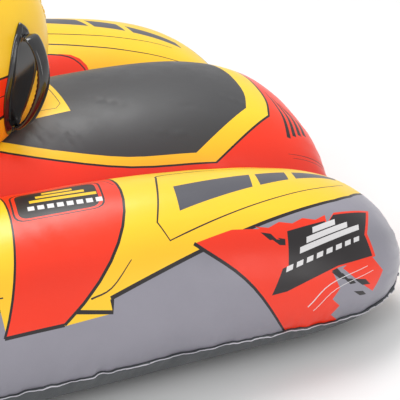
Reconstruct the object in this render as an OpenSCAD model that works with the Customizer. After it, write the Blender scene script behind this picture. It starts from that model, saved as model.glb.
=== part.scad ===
// Towable ride-on tube: two pontoons that meet at the bow, a straddle seat between
// them, a raised fairing with two handles, a wrapped bottom and a hinged tow eye.
// Port is +X, the bow points along -Y, and the bottom panel lies on Z = 0.

/* [Pontoons] */
// Half width of a pontoon amidships
pontoon_r = 190; // [185:1:192]
// Height of a pontoon amidships
pontoon_top = 400; // [390:1:404]
// Distance from the centre line to a pontoon's axis
pontoon_x = 442; // [440:1:450]
// Radius of the bow tube at the nose
nose_r = 155; // [145:1:160]
// How far the bow tube's axis rises towards the nose
nose_rise = 25; // [10:1:40]
// Distance from the origin forward to where the bow curve starts
bow_start = 235; // [225:1:240]
// Length of the bow curve along the hull
bow_len = 524; // [515:1:530]

/* [Stern] */
// Where a pontoon starts to close towards its stern
stern_start = 515; // [500:1:530]
// Length over which it closes
stern_len = 410; // [408:1:420]
// How far the middle of a pontoon drops from the bow curve to the stern
stern_drop = 80; // [60:1:90]
// How far the stern's axis turns inwards
stern_tuck = 40; // [30:1:45]

/* [Seat and fairing] */
// Half width of the seat tube amidships
seat_half_w = 252; // [240:1:252]
// Height of the seat ridge above the floor
seat_top = 412; // [406:1:416]
// Where the seat tube starts to close towards its tail
seat_tail = 250; // [230:1:300]
// Where it would close completely
seat_end = 937; // [936:1:945]
// Where it starts to close towards the bow
seat_nose = -190; // [-200:1:-180]
// Length over which it closes there
seat_nose_len = 405; // [402:1:410]
// Half width of the fairing at its shoulder
cowl_half_w = 203; // [198:1:205]
// Half length of the fairing at its shoulder
cowl_half_len = 310; // [300:1:314]
// Height of the shoulder
cowl_shoulder = 524; // [515:1:530]
// How far the fairing leans aft for each millimetre of height
cowl_lean = 0.26; // [0.2:0.01:0.3]
// Height of the fairing above the floor
cowl_top = 824; // [815:1:840]

/* [Bottom] */
// Thickness of the flat bottom panel
panel_t = 4; // [3:0.5:4]
// Thickness of the wrapped side skin
skin_t = 3; // [2:0.5:3]
// How far the welded seam flange stands out
flange_w = 9; // [6:1:12]

/* [Handles] */
// Length of a handle's patch
handle_len = 232; // [220:2:240]
// Width of a handle's patch
handle_w = 90; // [80:2:94]
// Clear height of the grip's middle above the fairing
grip_rise = 50; // [46:1:54]

/* [Valves] */
// Bore radius of the air passage
valve_bore = 9.5; // [8:0.5:10]
// Radius of the valve's welded foot
valve_foot_r = 34; // [30:1:36]

/* [Tow eye] */
// Radius of the rope hole
eye_bore = 12; // [10:0.5:14]
// Thickness of the eye plate
eye_t = 8; // [6:1:8]
// Radius of the cross bar that turns in the webbing
bar_r = 5; // [4:0.5:5]

/* [Hidden] */
$fn = 48;
around = 32;               // points around a chamber
gap = 0.5;                 // clearance between chambers and the skins on them
floor_lift = panel_t + gap;
step_a = 360 / around;

seat_bottom = 20;
cowl_foot_z = 362;         // lowest ring of the fairing, before it meets the seat
cowl_mid_y = 10;           // fore and aft place of its middle at the shoulder
cowl_tuck = 0.16;          // share of its size that the fairing loses at its foot
cowl_crown = 4;            // how far above the top the dome would close completely
// Ring heights of the fairing, closer together near the crown
cowl_rings = 16;
cowl_heights = [for (i = [0 : cowl_rings])
    cowl_foot_z + (cowl_top - cowl_foot_z) * sin(90 * i / cowl_rings)];
flange_heights = [for (i = [2 : 11]) cowl_heights[i]];
handle_phi = 47;           // azimuth of a handle, from aft towards its side
handle_z = 520;            // height of a handle's middle
patch_t = 4;
grip_half_w = 15;
grip_half_t = 7;
grip_reach = 92;           // from the handle's middle to each end of the grip
seam_angle = 11;           // ring index of the side seam, counted from the top
wrap_end = 15;             // ring index where the side skin ends under the hull
panel_aft = 700;           // where the flat bottom ends, aft of the origin
panel_bow = 0.62 * bow_len; // how far its rounded bow reaches past the bow's start

foot_t = 2.7;
collar_r = 18.5;
collar_len = 14;
insert_r = 14.9;
insert_rim = 19;
rim_t = 3;
flap_r = 11.5;
flap_t = 1.2;
cap_r = 20;
cap_t = 5;
hinge_x = -27;
hinge_z = 7.5;
hinge_pin_r = 1.5;
pocket_r = 19.5;
pocket_depth = 32;

nose_y = -bow_start - bow_len;
nose_z = floor_lift + pontoon_r + nose_rise;
nose_front = nose_y - nose_r;
tow_patch_t = 3;
sleeve_r = 8;
bar_y = nose_front - 2 * gap - tow_patch_t - sleeve_r;
sleeve_half = 32;
sleeve_slot = 9;
bar_half = 36;
eye_drop = 36;
eye_r = 22;

// Share of the full size left at t, which runs from 0 at full size to 1 at a closed tip.
// A larger p keeps the size for longer, and a larger q makes the tip blunter.
function left_at(t, p, q) = pow(1 - pow(min(1, max(0, t)), p), 1 / q);

// Pontoon: half width, half height before closing, and axis
function stern_t(y) = (y - stern_start) / stern_len;
function stern_shut(y) = left_at(stern_t(y), 5, 2);
function stern_half_h(y) =
    let (t = max(0, (y + bow_start) / (stern_start + stern_len + bow_start)))
    pontoon_top / 2 - stern_drop * pow(t, 3.5);
function stern_axis(y) = pontoon_x - stern_tuck * pow(max(0, stern_t(y)), 3);

// Seat tube: height of its ridge and half width
function tail_t(y) = (y - seat_tail) / (seat_end - seat_tail);
function nose_t(y) = (seat_nose - y) / seat_nose_len;
function seat_ridge(y) =
    seat_bottom + (seat_top - 4 - seat_bottom) * left_at(tail_t(y), 4, 3) * left_at(nose_t(y), 8, 3);
function seat_half(y) = seat_half_w * left_at(tail_t(y), 6, 5) * left_at(nose_t(y), 2, 2);

// Fairing: a dome above the shoulder that leans aft, and a tucked foot below it
function cowl_up(z) = (z - cowl_shoulder) / (cowl_top + cowl_crown - cowl_shoulder);
function cowl_foot_share(z) =
    1 - cowl_tuck * pow(max(0, (cowl_shoulder - z) / (cowl_shoulder - cowl_foot_z)), 5);
function cowl_half(z) = cowl_half_w * left_at(cowl_up(z), 2, 2) * cowl_foot_share(z);
function cowl_depth(z) = cowl_half_len * left_at(cowl_up(z), 1.4, 2) * cowl_foot_share(z);
function cowl_mid(z) = cowl_mid_y + cowl_lean * (z - cowl_shoulder);

// Frame of a pontoon ring: axis point, outward direction, half width, half height
function stern_frame(y) =
    let (h = stern_half_h(y))
    [[stern_axis(y) + gap / 2, y, floor_lift + h], [1, 0, 0],
        pontoon_r * stern_shut(y), h * stern_shut(y)];
function bow_frame(a) =
    let (
        s = pow(sin(a), 2),
        w = pontoon_r + (nose_r - pontoon_r) * s,
        h = pontoon_top / 2 + (nose_r - pontoon_top / 2) * s,
        d = [bow_len * cos(a), -pontoon_x * sin(a), 0]
    )
    [[pontoon_x * cos(a) + gap / 2, -bow_start - bow_len * sin(a),
        floor_lift + h + (nose_rise + pontoon_r - nose_r) * s], d / norm(d), w, h];
frames = [
    for (y = [922, 917, 909, 898, 880, 855, 825, 782, 730, 660, 590, 515, 420, 320, 200, 60, -90])
        stern_frame(y),
    for (a = [0 : 6 : 90]) bow_frame(a)
];
function ring_point(f, th, off) =
    f[0] + (f[2] + off) * sin(th) * f[1] + [0, 0, (f[3] + off) * cos(th)];
function ring(f) = [for (i = [0 : around - 1]) ring_point(f, i * step_a, 0)];
// Closed band on the outside of a ring, from angle a to angle b
function band(f, a, b, n, lo, hi) = concat(
    [for (i = [0 : n]) ring_point(f, a + (b - a) * i / n, hi)],
    [for (i = [n : -1 : 0]) ring_point(f, a + (b - a) * i / n, lo)]);

// Closed surface through rings of equal length, each a clockwise loop seen from ahead
module skin(rings) {
    n = len(rings[0]);
    last = (len(rings) - 1) * n;
    sides = [
        for (i = [0 : len(rings) - 2], j = [0 : n - 1])
            let (a = i * n + j, b = i * n + (j + 1) % n)
            each [[a, b, b + n], [a, b + n, a + n]]
    ];
    ends = [[for (j = [n - 1 : -1 : 0]) j], [for (j = [0 : n - 1]) last + j]];
    polyhedron([for (r = rings) each r], concat(sides, ends), convexity = 6);
}

// Seat surface
function seat_ring(y, off) =
    let (
        top = seat_ridge(y) + floor_lift,
        w = seat_half(y) + off,
        z = (top + seat_bottom) / 2,
        h = (top - seat_bottom) / 2 + off
    )
    [for (i = [0 : around - 1]) [w * sin(i * step_a), y, z + h * cos(i * step_a)]];
function seat_height(x, y) =
    let (
        top = seat_ridge(y) + floor_lift,
        u = min(0.98, abs(x) / seat_half(y))
    )
    (top + seat_bottom) / 2 + (top - seat_bottom) / 2 * sqrt(1 - u * u);

// Fairing surface at height z and azimuth ph, measured from aft towards port
function cowl_point(z, ph, off = 0) =
    let (
        x = (cowl_half(z) + off) * sin(ph),
        y = cowl_mid(z) + (cowl_depth(z) + off) * cos(ph)
    )
    [x, y, max(z, seat_height(x, y) + floor_lift + 1)];
function cowl_foot(k) =
    [for (i = [0 : around - 1])
        let (p = cowl_point(cowl_foot_z, i * step_a))
        [k * p.x, p.y * k, seat_height(k * p.x, p.y * k) + floor_lift + 1]];
function cowl_normal(z, ph) =
    let (
        a = cowl_point(z, ph + 1) - cowl_point(z, ph - 1),
        b = cowl_point(z + 4, ph) - cowl_point(z - 4, ph),
        n = cross(b, a)
    )
    n / norm(n);
function cowl_across(z, ph) =
    let (a = cowl_point(z, ph + 1) - cowl_point(z, ph - 1))
    a / norm(a);
// Degrees of azimuth that span one millimetre across a handle
function per_mm(z) = 2 / norm(cowl_point(z, handle_phi + 1) - cowl_point(z, handle_phi - 1));

module port_pontoon() {
    color("gold") difference() {
        skin([for (f = frames) ring(f)]);
        at_port_valve() valve_pocket();
    }
}
module starboard_pontoon() { mirror([1, 0, 0]) port_pontoon(); }

module seat_tube() {
    color("dimgray") difference() {
        skin([for (y = [934, 931, 925, 915, 900, 872, 838, 800, 735, 665, 590, 515, 420, 300, 160, 0,
            -150, -250, -330, -400, -440, -480, -515, -545, -570, -590]) seat_ring(y, 0)]);
        at_seat_valve() valve_pocket();
    }
}

module cowl() {
    color("gold") difference() {
        skin(concat([cowl_foot(0.02), cowl_foot(0.45), cowl_foot(0.8)],
            [for (z = cowl_heights) [for (i = [0 : around - 1]) cowl_point(z, i * step_a)]]));
        at_cowl_valve() valve_pocket();
    }
}

// Welded flange along the fairing's aft and forward centre line
module cowl_seam_flange() {
    color("goldenrod") for (ph = [0, 180]) {
        side = ph == 0 ? 1 : -1;
        skin([for (z = flange_heights)
            let (p = cowl_point(z, ph), y0 = p.y + side * gap, y1 = p.y + side * 7, t = side * 1.2)
            [[-t, y0, p.z], [-t, y1, p.z], [t, y1, p.z], [t, y0, p.z]]]);
    }
}

module bottom_panel() {
    half_w = pontoon_x + 23;
    color("darkslategray") linear_extrude(panel_t) union() {
        translate([-half_w, -bow_start]) square([2 * half_w, panel_aft + bow_start]);
        intersection() {
            translate([0, -bow_start]) scale([half_w, panel_bow]) circle(1, $fn = 64);
            translate([-half_w, -bow_start - bow_len]) square([2 * half_w, bow_len + 1]);
        }
    }
}

module port_side_skin() {
    color("darkslategray") skin([for (f = frames)
        band(f, seam_angle * step_a, wrap_end * step_a, wrap_end - seam_angle, gap, gap + skin_t)]);
}
module starboard_side_skin() { mirror([1, 0, 0]) port_side_skin(); }

module port_seam_flange() {
    a = seam_angle * step_a;
    color("gainsboro") skin([for (f = frames) band(f, a - 0.75, a - 0.25, 1, gap, flange_w)]);
}
module starboard_seam_flange() { mirror([1, 0, 0]) port_seam_flange(); }

// Pointed oval that follows the fairing
function patch_row(t) =
    let (
        z = handle_z + t * handle_len / 2,
        half = max(1, handle_w / 2 * pow(1 - t * t, 0.7)) * per_mm(z),
        n = 6
    )
    concat(
        [for (i = [0 : n])
            let (ph = handle_phi - half + 2 * half * i / n)
            cowl_point(z, ph) + (gap + patch_t) * cowl_normal(z, ph)],
        [for (i = [n : -1 : 0])
            let (ph = handle_phi - half + 2 * half * i / n)
            cowl_point(z, ph) + gap * cowl_normal(z, ph)]);
module port_handle_patch() {
    color("#161618") skin([for (i = [-10 : 10]) patch_row(i / 10.4)]);
}
module starboard_handle_patch() { mirror([1, 0, 0]) port_handle_patch(); }

// Moulded grip arching over the patch
function grip_ring(t) =
    let (
        z = handle_z + t * grip_reach,
        n = cowl_normal(z, handle_phi), s = cowl_across(z, handle_phi),
        lift = gap * 2 + patch_t + grip_half_t + (grip_rise - patch_t - grip_half_t)
            * pow(max(0, cos(t * 90)), 0.6),
        c = cowl_point(z, handle_phi) + lift * n,
        w = grip_half_w + 6 * pow(abs(t), 4)
    )
    [for (i = [0 : 11]) c + grip_half_t * cos(i * 30) * n + w * sin(i * 30) * s];
module port_handle_grip() {
    color("#161618") skin([for (t = [-10 : 10]) grip_ring(t / 10)]);
}
module starboard_handle_grip() { mirror([1, 0, 0]) port_handle_grip(); }

module tow_patch() {
    color("dimgray") translate([-55, nose_front - gap - tow_patch_t, nose_z - 38])
        cube([110, tow_patch_t, 76]);
}

module tow_sleeve() {
    color("black") translate([0, bar_y, nose_z]) rotate([0, 90, 0]) difference() {
        union() {
            cylinder(r = sleeve_r, h = 2 * sleeve_half, center = true);
            translate([-6, 0, -sleeve_half]) cube([12, sleeve_r, 2 * sleeve_half]);
        }
        cylinder(r = bar_r + 0.06, h = 2 * sleeve_half + 2, center = true);
        cube([4 * sleeve_r, 4 * sleeve_r, 2 * sleeve_slot], center = true);
    }
}

// Cross bar with a plate that hangs from its middle
module tow_eye() {
    color("silver") translate([0, bar_y, nose_z]) {
        rotate([0, 90, 0]) cylinder(r = bar_r, h = 2 * bar_half, center = true);
        for (s = [-1, 1]) translate([s * (bar_half - 1), 0, 0])
            rotate([0, 90, 0]) cylinder(r = bar_r + 2, h = 4, center = true);
        difference() {
            union() {
                translate([-sleeve_slot + 1, -eye_t / 2, -eye_drop])
                    cube([2 * sleeve_slot - 2, eye_t, eye_drop]);
                translate([0, 0, -eye_drop]) rotate([90, 0, 0])
                    cylinder(r = eye_r, h = eye_t, center = true);
            }
            translate([0, 0, -eye_drop]) rotate([90, 0, 0])
                cylinder(r = eye_bore, h = eye_t + 2, center = true);
        }
    }
}

// Places for the four air valves, with the local +Z pointing out of the chamber
port_valve_at = [pontoon_x + gap / 2, -300, pontoon_top + floor_lift + 0.6];
seat_valve_at = [0, -372, seat_top - 4 + floor_lift + 0.4];
cowl_valve_at = [-cowl_half_w - 0.6, 0, cowl_shoulder];
module at_port_valve() { translate(port_valve_at) children(); }
module at_starboard_valve() {
    translate([-port_valve_at.x, port_valve_at.y, port_valve_at.z]) rotate([0, 0, 180]) children();
}
module at_seat_valve() { translate(seat_valve_at) rotate([0, 0, 90]) children(); }
module at_cowl_valve() { translate(cowl_valve_at) rotate([0, -90, 0]) rotate([0, 0, 180]) children(); }

module valve_pocket() {
    translate([0, 0, -pocket_depth]) cylinder(r = pocket_r, h = pocket_depth + 10, $fn = 12);
}

// Welded foot, threaded collar and the two ears of the cap's hinge
module valve_base() {
    color("#26262a") difference() {
        union() {
            cylinder(r = valve_foot_r, h = foot_t);
            translate([0, 0, -collar_len]) cylinder(r = collar_r, h = collar_len + foot_t + 2);
            for (s = [-1, 1]) translate([hinge_x - 3, s * 6.5 - 1.5, 0])
                cube([6, 3, hinge_z + 3]);
        }
        translate([0, 0, -collar_len - 1]) cylinder(r = insert_r + 0.1, h = collar_len + 9);
        translate([hinge_x, 0, hinge_z]) rotate([90, 0, 0])
            cylinder(r = hinge_pin_r + 0.07, h = 20, center = true);
    }
}

// Screwed insert with the air passage
module valve_insert() {
    color("#3a3a40") difference() {
        union() {
            translate([0, 0, -collar_len]) cylinder(r = insert_r, h = collar_len + foot_t + 2.2);
            translate([0, 0, foot_t + 2.1]) cylinder(r = insert_rim, h = rim_t);
        }
        translate([0, 0, -collar_len - 1]) cylinder(r = valve_bore, h = collar_len + 12);
    }
}

// One-way flap that seats on the insert's inner end
module valve_flap() {
    color("white") translate([0, 0, -collar_len - 0.1 - flap_t])
        cylinder(r = flap_r, h = flap_t);
}

// Cap with its plug, tongue and hinge pin
module valve_cap() {
    base_z = foot_t + 2.1 + rim_t + 0.2;
    color("#1c1c20") {
        translate([0, 0, base_z]) cylinder(r = cap_r, h = cap_t);
        translate([0, 0, base_z - 3]) cylinder(r = valve_bore - 0.6, h = 4);
        translate([hinge_x, -4.5, base_z + 1]) cube([-hinge_x - cap_r + 6, 9, cap_t - 2]);
        translate([hinge_x, 0, hinge_z]) rotate([90, 0, 0])
            cylinder(r = hinge_pin_r, h = 15.6, center = true);
        translate([hinge_x - 1.2, -4.5, hinge_z - 1]) cube([3, 9, base_z + cap_t - 1 - hinge_z + 1]);
    }
}

module port_valve_base() { at_port_valve() valve_base(); }
module port_valve_insert() { at_port_valve() valve_insert(); }
module port_valve_flap() { at_port_valve() valve_flap(); }
module port_valve_cap() { at_port_valve() valve_cap(); }
module starboard_valve_base() { at_starboard_valve() valve_base(); }
module starboard_valve_insert() { at_starboard_valve() valve_insert(); }
module starboard_valve_flap() { at_starboard_valve() valve_flap(); }
module starboard_valve_cap() { at_starboard_valve() valve_cap(); }
module seat_valve_base() { at_seat_valve() valve_base(); }
module seat_valve_insert() { at_seat_valve() valve_insert(); }
module seat_valve_flap() { at_seat_valve() valve_flap(); }
module seat_valve_cap() { at_seat_valve() valve_cap(); }
module cowl_valve_base() { at_cowl_valve() valve_base(); }
module cowl_valve_insert() { at_cowl_valve() valve_insert(); }
module cowl_valve_flap() { at_cowl_valve() valve_flap(); }
module cowl_valve_cap() { at_cowl_valve() valve_cap(); }

port_pontoon();
starboard_pontoon();
seat_tube();
cowl();
cowl_seam_flange();
bottom_panel();
port_side_skin();
starboard_side_skin();
port_seam_flange();
starboard_seam_flange();
port_handle_patch();
port_handle_grip();
starboard_handle_patch();
starboard_handle_grip();
tow_patch();
tow_sleeve();
tow_eye();
port_valve_base();
port_valve_insert();
port_valve_flap();
port_valve_cap();
starboard_valve_base();
starboard_valve_insert();
starboard_valve_flap();
starboard_valve_cap();
seat_valve_base();
seat_valve_insert();
seat_valve_flap();
seat_valve_cap();
cowl_valve_base();
cowl_valve_insert();
cowl_valve_flap();
cowl_valve_cap();
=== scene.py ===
import math

import bpy
import bmesh
import numpy as np
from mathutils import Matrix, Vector
from mathutils.bvhtree import BVHTree
from mathutils.geometry import delaunay_2d_cdt


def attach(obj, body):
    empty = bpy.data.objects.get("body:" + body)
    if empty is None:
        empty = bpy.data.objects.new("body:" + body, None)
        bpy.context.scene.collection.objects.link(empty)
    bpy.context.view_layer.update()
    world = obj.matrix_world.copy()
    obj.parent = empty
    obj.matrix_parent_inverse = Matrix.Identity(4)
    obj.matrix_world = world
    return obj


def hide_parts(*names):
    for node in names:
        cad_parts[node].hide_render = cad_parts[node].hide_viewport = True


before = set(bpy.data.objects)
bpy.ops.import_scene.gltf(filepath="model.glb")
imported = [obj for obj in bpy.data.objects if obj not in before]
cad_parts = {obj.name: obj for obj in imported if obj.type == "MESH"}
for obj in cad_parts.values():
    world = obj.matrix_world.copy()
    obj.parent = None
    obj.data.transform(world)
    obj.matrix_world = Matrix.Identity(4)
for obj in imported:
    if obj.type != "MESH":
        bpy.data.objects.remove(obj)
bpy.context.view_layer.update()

MM = 0.001

# ---------------------------------------------------------------- hull shape, in metres
TUBE_R = 0.190               # half width of a pontoon
TUBE_H = 0.200               # and half its height
AXIS_X = 0.442
NOSE_R = 0.155
NOSE_RISE = 0.025
BOW_START = 0.235
BOW_LEN = 0.524
BOW_PATH = 0.761             # length of the bow curve along the tube's axis
LIFT = 0.0045
STERN_START = 0.515          # where a pontoon starts to close, and over what length
STERN_LEN = 0.410
STERN_DROP = 0.080
STERN_TUCK = 0.040
SEAT_LOW = 0.020
SEAT_TOP = 0.408
SEAT_HALF = 0.252
SEAT_TAIL = 0.250            # where the seat starts to close aft, and its tip
SEAT_END = 0.937
SEAT_NOSE = -0.190           # and forward
SEAT_NOSE_LEN = 0.405
COWL_FOOT = 0.362
COWL_SHOULDER = 0.524
COWL_TOP = 0.824
COWL_CROWN = 0.004
COWL_HALF = 0.203
COWL_HALF_LEN = 0.310
COWL_MID = 0.010
COWL_LEAN = 0.26
COWL_TUCK = 0.16
STERN_TIP = 0.922            # last full ring of a pontoon and of the seat
SEAT_TIP = 0.934
HANDLE_ARC_R = 0.260         # radius of the fairing where the handle crosses it
SEAT_R = 0.250               # nominal radii that turn an angle into a printed distance
COWL_R = 0.200
HANDLE_PHI = math.radians(47)
HANDLE_Z = 0.520
SEAM_ANGLE = math.radians(118.5)


def left_at(t, p, q):
    """Share of the full size left at t, from 0 at full size to 1 at a closed tip."""
    return np.maximum(0, 1 - np.clip(t, 0, 1) ** p) ** (1 / q)


def stern_t(y):
    return (y - STERN_START) / STERN_LEN


def stern_half_height(y):
    """Half height of a pontoon before its end closes."""
    t = np.maximum(0, (y + BOW_START) / (STERN_START + STERN_LEN + BOW_START))
    return TUBE_H - STERN_DROP * t ** 3.5


def stern_axis(y):
    return AXIS_X - STERN_TUCK * np.maximum(0, stern_t(y)) ** 3


def tail_t(y):
    return (y - SEAT_TAIL) / (SEAT_END - SEAT_TAIL)


def seat_ridge(y):
    t = (SEAT_NOSE - y) / SEAT_NOSE_LEN
    return SEAT_LOW + (SEAT_TOP - SEAT_LOW) * left_at(tail_t(y), 4, 3) * left_at(t, 8, 3)


def seat_half(y):
    t = (SEAT_NOSE - y) / SEAT_NOSE_LEN
    return SEAT_HALF * left_at(tail_t(y), 6, 5) * left_at(t, 2, 2)


def cowl_size(z, p):
    """Share of the fairing's size left at a height: a dome above, a tucked foot below."""
    up = (z - COWL_SHOULDER) / (COWL_TOP + COWL_CROWN - COWL_SHOULDER)
    down = np.maximum(0, (COWL_SHOULDER - z) / (COWL_SHOULDER - COWL_FOOT))
    return left_at(up, p, 2) * (1 - COWL_TUCK * down ** 5)


def closing(y, end, reach):
    """Shrinks a ring to a point over a round end cap that reaches past the last row."""
    t = np.clip((y - end) / reach, 0, 1)
    return np.sqrt(np.maximum(0, 1 - t * t))


def pontoon(u, v, off=0.0):
    """Port pontoon: u runs along it, equal to y until the bow, v goes round it from the top."""
    th = v / TUBE_R
    y = np.maximum(u, -BOW_START)
    a = np.clip((-BOW_START - u) / BOW_PATH, 0, 1) * math.pi / 2
    shut = closing(u, STERN_TIP, 0.006)
    stern_h = stern_half_height(y)
    end = left_at(stern_t(y), 5, 2)
    s = np.sin(a) ** 2
    wide, high = TUBE_R + (NOSE_R - TUBE_R) * s, TUBE_H + (NOSE_R - TUBE_H) * s
    bow = u < -BOW_START
    dx, dy = BOW_LEN * np.cos(a), -AXIS_X * np.sin(a)
    n = np.hypot(dx, dy)
    cx = np.where(bow, AXIS_X * np.cos(a), stern_axis(y)) + 0.00025
    cy = np.where(bow, -BOW_START - BOW_LEN * np.sin(a), u)
    cz = LIFT + np.where(bow, high + (NOSE_RISE + TUBE_R - NOSE_R) * s, stern_h)
    w = np.where(bow, wide, TUBE_R * end * shut) + off
    h = np.where(bow, high, stern_h * end * shut) + off
    k = w * np.sin(th)
    return np.stack([cx + k * np.where(bow, dx / n, 1), cy + k * np.where(bow, dy / n, 0),
                     cz + h * np.cos(th)], -1)


def seat(u, v, off=0.0):
    """Seat tube: u is y, v goes round from the ridge towards port."""
    th = v / SEAT_R
    shut = closing(u, SEAT_TIP, 0.0055)
    top, w = seat_ridge(u) + LIFT, seat_half(u) * shut + off
    h = (top - SEAT_LOW) / 2 * shut + off
    return np.stack([w * np.sin(th), u + 0 * th, (top + SEAT_LOW) / 2 + h * np.cos(th)], -1)


def seat_height(x, y):
    top = seat_ridge(y) + LIFT
    t = np.minimum(0.98, np.abs(x) / seat_half(y))
    return (top + SEAT_LOW) / 2 + (top - SEAT_LOW) / 2 * np.sqrt(1 - t * t)


def cowl(u, v, off=0.0):
    """Fairing: u is height, v goes round from the aft edge towards port."""
    ph = v / COWL_R
    shut = closing(u, COWL_TOP, COWL_CROWN)
    w = COWL_HALF * cowl_size(u, 2) * shut + off
    h = COWL_HALF_LEN * cowl_size(u, 1.4) * shut + off
    x, y = w * np.sin(ph), COWL_MID + COWL_LEAN * (u - COWL_SHOULDER) + h * np.cos(ph)
    return np.stack([x, y, np.maximum(u + 0 * ph, seat_height(x, y) + LIFT + 0.001)], -1)


def normal_of(surface, u, v, e=0.0008):
    """Outward unit normal of a bare surface by central differences."""
    du = surface(u + e, v) - surface(u - e, v)
    dv = surface(u, v + e) - surface(u, v - e)
    n = np.cross(dv, du)
    if surface is cowl:
        n = -n
    size = np.linalg.norm(n, axis=-1, keepdims=True)
    return n / np.maximum(size, 1e-12)


# ---------------------------------------------------------------- soft wrinkles
def lattice(i, j, seed):
    s = np.sin(i * 127.1 + j * 311.7 + seed * 74.7) * 43758.5453
    return 2 * (s - np.floor(s)) - 1


def noise(x, y, seed=0):
    """Smooth repeatable noise between -1 and 1."""
    i, j = np.floor(x), np.floor(y)
    fx, fy = x - i, y - j
    fx, fy = fx * fx * (3 - 2 * fx), fy * fy * (3 - 2 * fy)
    a = lattice(i, j, seed) * (1 - fx) + lattice(i + 1, j, seed) * fx
    b = lattice(i, j + 1, seed) * (1 - fx) + lattice(i + 1, j + 1, seed) * fx
    return a * (1 - fy) + b * fy


def gathers(along, away, pitch, depth, reach, seed):
    """Short creases that start at a weld and die away from it."""
    fade = np.exp(-(np.abs(away) / reach) ** 1.3)
    wave = noise(along / pitch, away / (4 * pitch), seed)
    ripple = noise(along / pitch * 2.3, away / reach, seed + 5)
    return depth * fade * (wave + 0.5 * ripple)


def crease(u, v, cu, cv, angle, length, width, depth):
    """One soft fold line at (cu, cv)."""
    c, s = math.cos(angle), math.sin(angle)
    p, q = (u - cu) * c + (v - cv) * s, -(u - cu) * s + (v - cv) * c
    q = q + 0.12 * length * np.sin(p / length * 2.2)
    return depth * np.exp(-(p / length) ** 2 - (q / width) ** 2)


def pontoon_relief(u, v):
    d = 0.0011 * noise(u / 0.16, v / 0.21, 3) + 0.0005 * noise(u / 0.055, v / 0.09, 4)
    seam = TUBE_R * SEAM_ANGLE
    d = d + gathers(u, v - seam, 0.021, 0.0022, 0.030, 11)
    d = d + gathers(u, v + 0.295, 0.034, 0.0016, 0.035, 12)
    end = np.clip((u - 0.80) / 0.13, 0, 1)
    d = d + end * 0.0016 * noise(v / 0.020, u / 0.09, 13)
    for cu, cv, an, ln, wd, dp in PONTOON_CREASES:
        d = d + crease(u, v, cu * MM, cv * MM, math.radians(an), ln * MM, wd * MM, dp * MM)
    return d


def scattered(count, start, pitch, around, spread, direction, depth, seed):
    """A row of fold lines: along, around, direction, length, width, depth, in mm and degrees."""
    rows = []
    for k in range(count):
        turn = depth if k % 2 else -depth
        along = start + pitch * k + 0.3 * pitch * lattice(k, 1, seed)
        rows.append((along, around + spread * lattice(k, 2, seed), direction + 8 * lattice(k, 3, seed),
                     36 + 6 * lattice(k, 4, seed), 6, turn))
    return rows


PONTOON_CREASES = (scattered(8, -700, 170, 340, 10, 88, 1.2, 41)
                   + scattered(4, 95, 26, 115, 30, 70, 1.0, 42)
                   + scattered(3, 840, 20, 220, 80, 35, 1.0, 43)
                   + scattered(2, -640, 120, 50, 10, 66, 1.1, 44))
SEAT_CREASES = scattered(4, 250, 24, 150, 20, 60, 1.2, 45) + scattered(4, 420, 90, 120, 80, 30, 0.8, 46)


def seat_relief(u, v):
    d = 0.0013 * noise(u / 0.18, v / 0.20, 23) + 0.0005 * noise(u / 0.06, v / 0.08, 24)
    weld = SEAT_R * math.radians(88)
    d = d + gathers(u, np.abs(v) - weld, 0.030, 0.0018, 0.045, 21)
    end = np.clip((u - 0.80) / 0.12, 0, 1) + np.clip((-0.45 - u) / 0.14, 0, 1)
    d = d + end * 0.0016 * noise(v / 0.024, u / 0.09, 22)
    for cu, cv, an, ln, wd, dp in SEAT_CREASES:
        d = d + 1.2 * crease(u, v, cu * MM, cv * MM, math.radians(an), ln * MM, wd * MM, dp * MM)
    return d


def cowl_relief(u, v):
    d = 0.0012 * noise(u / 0.13, v / 0.15, 33) + 0.0005 * noise(u / 0.05, v / 0.05, 34)
    half = COWL_R * math.pi
    d = d + gathers(u, v, 0.017, 0.0016, 0.028, 31)
    d = d + gathers(u, np.abs(v) - half, 0.019, 0.0016, 0.028, 32)
    foot = np.clip((0.475 - u) / 0.05, 0, 1)
    d = d + foot * 0.0018 * noise(v / 0.028, u / 0.10, 35)
    patch = np.hypot((u - HANDLE_Z) / 0.13, (np.abs(v) - COWL_R * HANDLE_PHI) / 0.05)
    d = d + 0.0012 * np.exp(-((patch - 1) / 0.35) ** 2) * noise(np.arctan2(u - HANDLE_Z, v) * 5, patch, 36)
    return d


def dressed(surface, relief):
    """The surface with its wrinkles on."""
    def made(u, v):
        return surface(u, v) + relief(u, v)[..., None] * normal_of(surface, u, v)
    return made


# ---------------------------------------------------------------- printed artwork helpers
def stroke(points, width, end_width=None):
    """Outline of a line of a given width through points, tapering to end_width."""
    p = np.array(points, float)
    w = np.linspace(width, width if end_width is None else end_width, len(p)) / 2
    t = np.gradient(p, axis=0)
    t /= np.linalg.norm(t, axis=1, keepdims=True)
    n = np.stack([-t[:, 1], t[:, 0]], -1) * w[:, None]
    return [tuple(q) for q in p + n] + [tuple(q) for q in (p - n)[::-1]]


def bend(points, steps=6):
    """Catmull-Rom curve through points."""
    p = np.array(points, float)
    ext = np.vstack([2 * p[0] - p[1], p, 2 * p[-1] - p[-2]])
    out = []
    for i in range(1, len(p)):
        a, b, c, d = ext[i - 1], ext[i], ext[i + 1], ext[i + 2]
        for t in np.arange(steps) / steps:
            out.append(tuple(0.5 * (2 * b + (c - a) * t + (2 * a - 5 * b + 4 * c - d) * t * t
                                    + (3 * b - a - 3 * c + d) * t ** 3)))
    return out + [tuple(p[-1])]


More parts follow.
